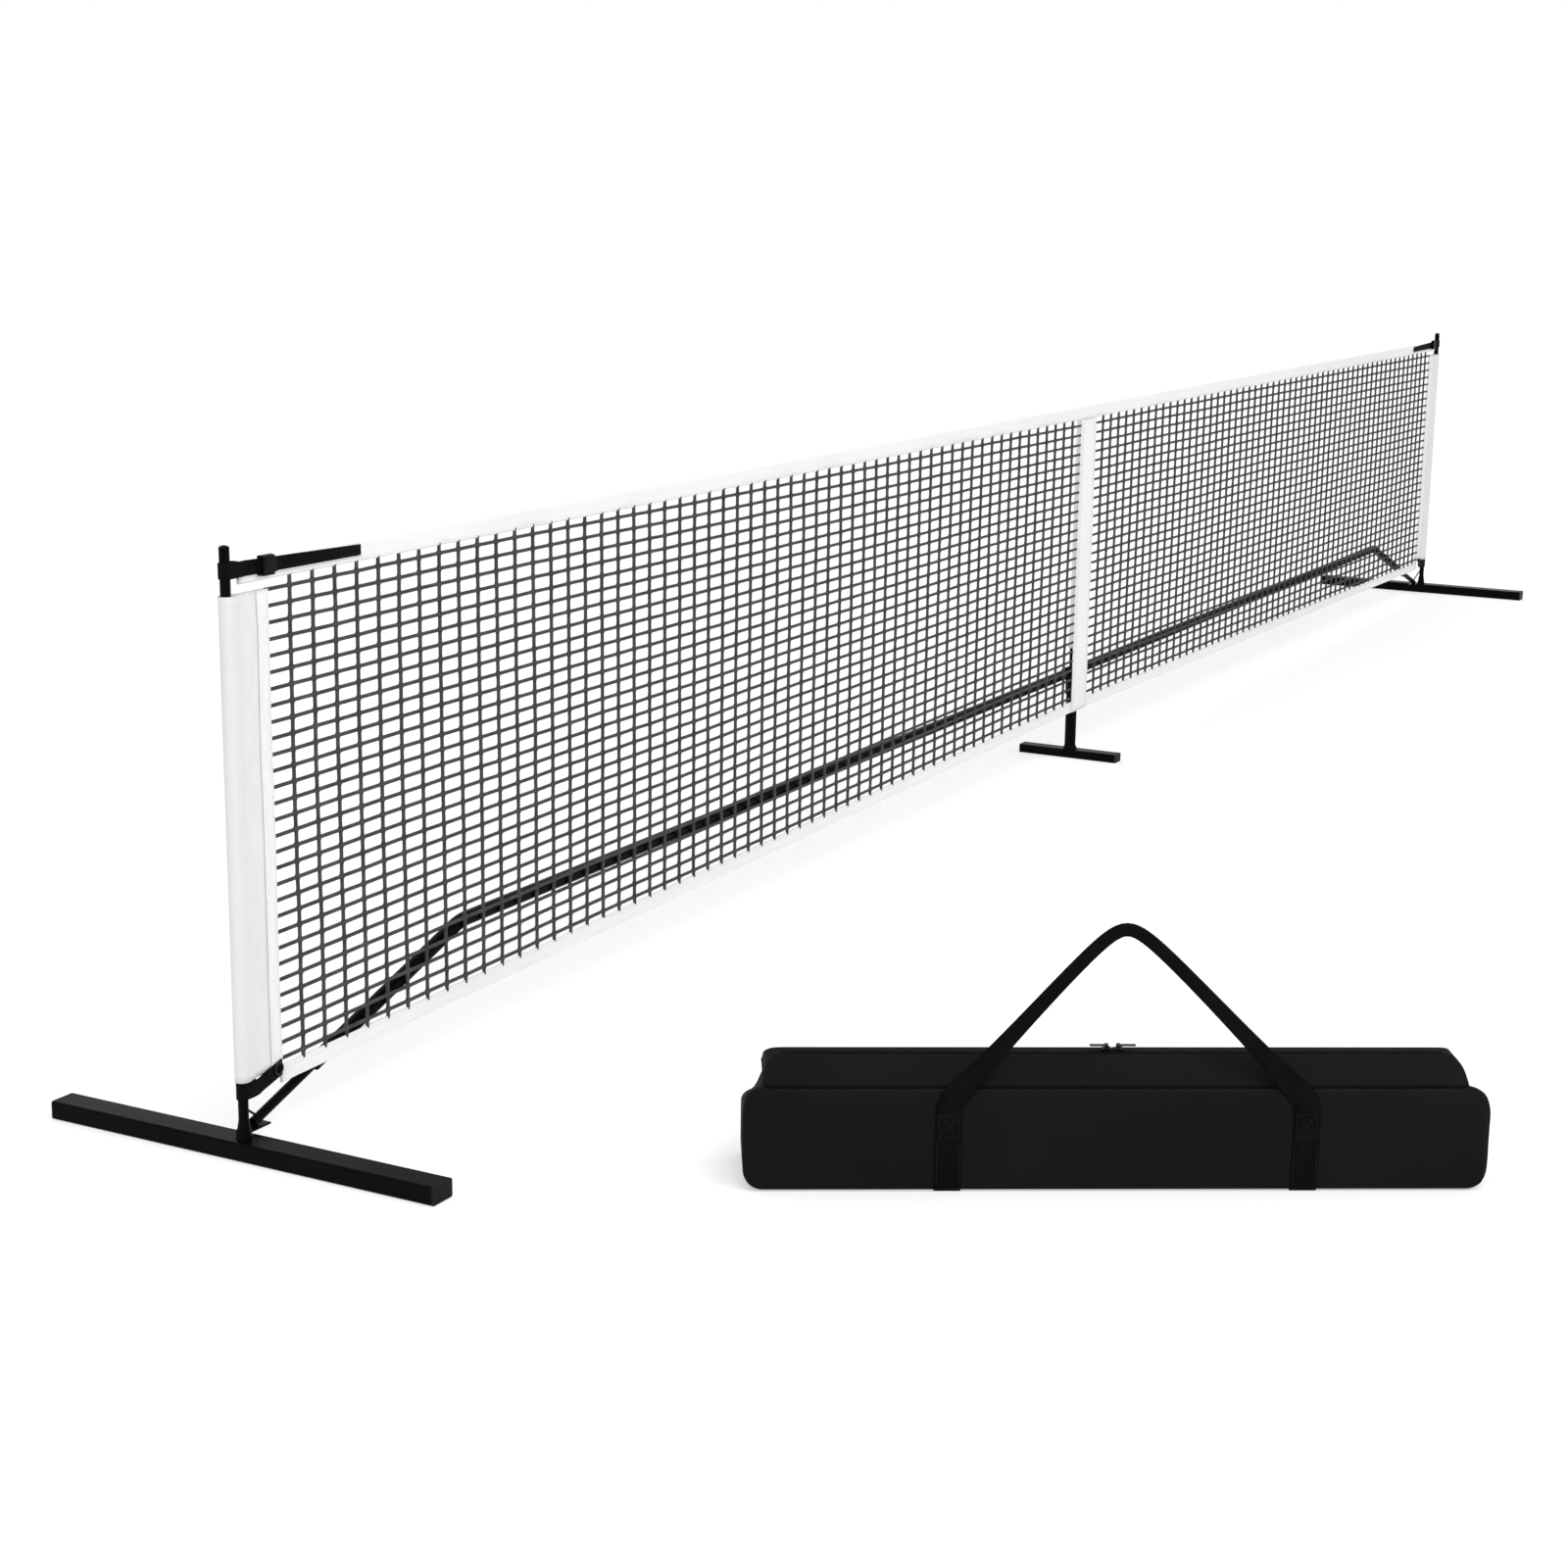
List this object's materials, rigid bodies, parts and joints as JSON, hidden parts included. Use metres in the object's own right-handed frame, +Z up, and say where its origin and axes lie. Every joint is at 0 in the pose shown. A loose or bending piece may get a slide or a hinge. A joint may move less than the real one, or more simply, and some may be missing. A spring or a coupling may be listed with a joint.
{
  "type": "portable pickleball net",
  "caption": "Free-standing court net on a steel knock-down frame with base bars, tension straps and a zipped carry bag beside it.",
  "frame": {"origin": "on the court under the middle of the centre base bar's length along the net, in the net's own plane", "axes": "+X along the net towards the far post, +Y through the net to the rail side, +Z up"},
  "size_m": [6.756, 2.0687, 0.9433],
  "materials": {
    "black_steel": "satin",
    "black_plastic": "matte",
    "zinc_steel": "satin",
    "white_cloth": "matte",
    "net_twine": "matte",
    "black_webbing": "matte",
    "bag_cloth": "matte",
    "zip_metal": "satin"
  },
  "bodies": {
    "frame": {"left_base_bar": "black_steel", "right_base_bar": "black_steel", "centre_base_bar": "black_steel", "end_base_caps": "black_plastic", "centre_base_caps": "black_plastic", "left_post_lower": "black_steel", "right_post_lower": "black_steel", "left_post_upper": "black_steel", "right_post_upper": "black_steel", "centre_post_lower": "black_steel", "centre_tee": "black_plastic", "centre_post_upper": "black_steel", "post_caps": "black_plastic", "left_leg_strut": "black_steel", "right_leg_strut": "black_steel", "brace_wires": "black_steel", "left_bent_tube": "black_steel", "right_bent_tube": "black_steel", "left_rail_outer": "black_steel", "right_rail_outer": "black_steel", "left_rail_inner": "black_steel", "right_rail_inner": "black_steel", "button_springs": "zinc_steel"},
    "net": {"left_mesh": "net_twine", "right_mesh": "net_twine", "top_band": "white_cloth", "top_cable": "zinc_steel", "bottom_band": "white_cloth", "left_sleeve": "white_cloth", "right_sleeve": "white_cloth", "centre_band": "white_cloth", "left_top_strap": "black_webbing", "right_top_strap": "black_webbing", "left_bottom_strap": "black_webbing", "right_bottom_strap": "black_webbing", "corner_rings": "zinc_steel", "buckle_frames": "black_plastic"},
    "left_buckle": {"left_buckle_cam": "black_plastic"},
    "right_buckle": {"right_buckle_cam": "black_plastic"},
    "left_post_button": {"left_post_button": "zinc_steel"},
    "right_post_button": {"right_post_button": "zinc_steel"},
    "centre_post_button": {"centre_post_button": "zinc_steel"},
    "left_leg_button": {"left_leg_button": "zinc_steel"},
    "right_leg_button": {"right_leg_button": "zinc_steel"},
    "bag": {"bag_body": "bag_cloth", "bag_top": "bag_cloth", "bag_webbing": "black_webbing", "zip_tape": "black_webbing"},
    "front_handle": {"front_handle": "black_webbing"},
    "rear_handle": {"rear_handle": "black_webbing"},
    "zip_slider_a": {"zip_slider_a": "zip_metal"},
    "zip_slider_b": {"zip_slider_b": "zip_metal"},
    "zip_pull_a": {"zip_pull_a": "zip_metal"},
    "zip_pull_b": {"zip_pull_b": "zip_metal"}
  },
  "joints": [
    {"name": "net_lift", "type": "slide", "parent": "frame", "child": "net", "axis": [0, 0, 1], "range_m": [0, 0.9]},
    {"name": "left_buckle_open", "type": "hinge", "parent": "net", "child": "left_buckle", "pos_m": [-3.278, -0.0125, 0.9055], "axis": [0, 0, -1], "range_deg": [0, 75], "stiffness_Nm_per_rad": 0.05, "springref_deg": -20.05},
    {"name": "right_buckle_open", "type": "hinge", "parent": "net", "child": "right_buckle", "pos_m": [3.278, -0.0125, 0.9055], "axis": [0, 0, 1], "range_deg": [0, 75], "stiffness_Nm_per_rad": 0.05, "springref_deg": -20.05},
    {"name": "left_post_button_press", "type": "slide", "parent": "frame", "child": "left_post_button", "axis": [-1, 0, 0], "range_m": [0, 0.0024], "stiffness_N_per_m": 900, "springref_m": -0.003},
    {"name": "right_post_button_press", "type": "slide", "parent": "frame", "child": "right_post_button", "axis": [1, 0, 0], "range_m": [0, 0.0024], "stiffness_N_per_m": 900, "springref_m": -0.003},
    {"name": "centre_post_button_press", "type": "slide", "parent": "frame", "child": "centre_post_button", "axis": [0, -1, 0], "range_m": [0, 0.0024], "stiffness_N_per_m": 900, "springref_m": -0.003},
    {"name": "left_leg_button_press", "type": "slide", "parent": "frame", "child": "left_leg_button", "axis": [0, -1, 0], "range_m": [0, 0.0024], "stiffness_N_per_m": 900, "springref_m": -0.003},
    {"name": "right_leg_button_press", "type": "slide", "parent": "frame", "child": "right_leg_button", "axis": [0, -1, 0], "range_m": [0, 0.0024], "stiffness_N_per_m": 900, "springref_m": -0.003},
    {"name": "bag_lift", "type": "slide", "parent": "frame", "child": "bag", "axis": [0, 0, 1], "range_m": [0, 0.6]},
    {"name": "front_handle_fold", "type": "hinge", "parent": "bag", "child": "front_handle", "pos_m": [-2.81101, -1.22896, 0.1505], "axis": [0.5045, -0.8634, 0], "range_deg": [0, 144.54]},
    {"name": "rear_handle_fold", "type": "hinge", "parent": "bag", "child": "rear_handle", "pos_m": [-2.66086, -1.14122, 0.1505], "axis": [0.5045, -0.8634, 0], "range_deg": [0, 144.54]},
    {"name": "zip_slide_a", "type": "slide", "parent": "bag", "child": "zip_slider_a", "axis": [-0.5045, 0.8634, 0], "range_m": [0, 0.46]},
    {"name": "zip_slide_b", "type": "slide", "parent": "bag", "child": "zip_slider_b", "axis": [0.5045, -0.8634, 0], "range_m": [0, 0.46]},
    {"name": "zip_pull_a_lift", "type": "hinge", "parent": "zip_slider_a", "child": "zip_pull_a", "pos_m": [-2.74754, -1.16523, 0.2018], "axis": [0.8634, 0.5045, 0], "range_deg": [0, 100]},
    {"name": "zip_pull_b_lift", "type": "hinge", "parent": "zip_slider_b", "child": "zip_pull_b", "pos_m": [-2.73846, -1.18077, 0.2018], "axis": [-0.8634, -0.5045, 0], "range_deg": [0, 100]}
  ]
}
